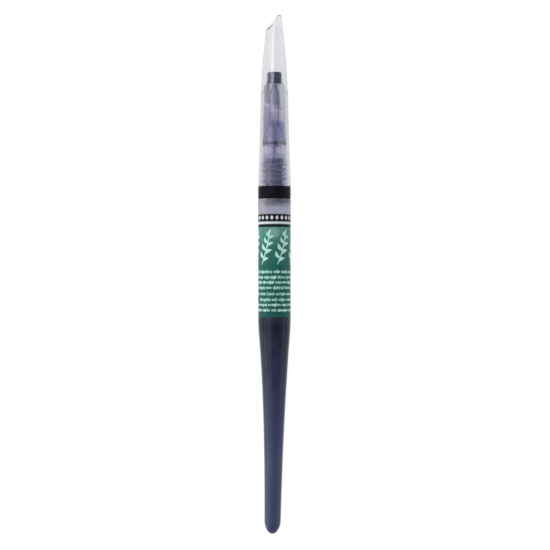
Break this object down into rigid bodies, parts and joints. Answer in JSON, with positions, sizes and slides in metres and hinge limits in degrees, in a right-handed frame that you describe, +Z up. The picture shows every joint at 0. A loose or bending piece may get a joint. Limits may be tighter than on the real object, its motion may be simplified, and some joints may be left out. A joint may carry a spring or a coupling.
{
  "type": "refillable brush pen",
  "caption": "Slim capped brush pen: soft tapered ink barrel, black collar, screw-on head with a pointed bristle tuft, and a long clear push-on cap with a slanted end.",
  "frame": {"origin": "on the surface that the pen lies on, below the middle of its length and of its width", "axes": "+Y along the pen's axis from the round tail to the slanted cap end, +Z up from the surface, +X to the side of the cap's longer wall"},
  "size_m": [0.011, 0.175, 0.011],
  "materials": {
    "soft_barrel": "satin, translucent",
    "smoky_plastic": "glossy, translucent",
    "clear_plastic": "glossy, translucent",
    "black_plastic": "glossy",
    "ink": "wet",
    "green_label": "printed film",
    "bristle": "damp filaments",
    "fibre": "ink-soaked fibre"
  },
  "bodies": {
    "barrel": {"reservoir": "soft_barrel", "neck_plug": "smoky_plastic", "ink_fill": "ink", "label_sleeve": "green_label"},
    "collar": {"seal_collar": "black_plastic"},
    "head": {"section": "smoky_plastic", "nozzle": "smoky_plastic", "ferrule": "black_plastic", "bristle_tuft": "bristle", "feed": "smoky_plastic", "wick": "fibre"},
    "cap": {"cap_shell": "clear_plastic", "inner_cap": "smoky_plastic"}
  },
  "joints": [
    {"name": "thread_rise", "type": "slide", "parent": "barrel", "child": "collar", "axis": [0, 1, 0], "range_m": [0, 0.01]},
    {"name": "head_turn", "type": "hinge", "parent": "collar", "child": "head", "pos_m": [0, 0.03, 0.0055], "axis": [0, 1, 0], "range_deg": [0, 2255]},
    {"name": "cap_pull", "type": "slide", "parent": "head", "child": "cap", "axis": [0, 1, 0], "range_m": [0, 0.045]}
  ],
  "couplings": [
    {"joint": "head_turn", "follows": "thread_rise", "rad_per_m": 3927}
  ]
}
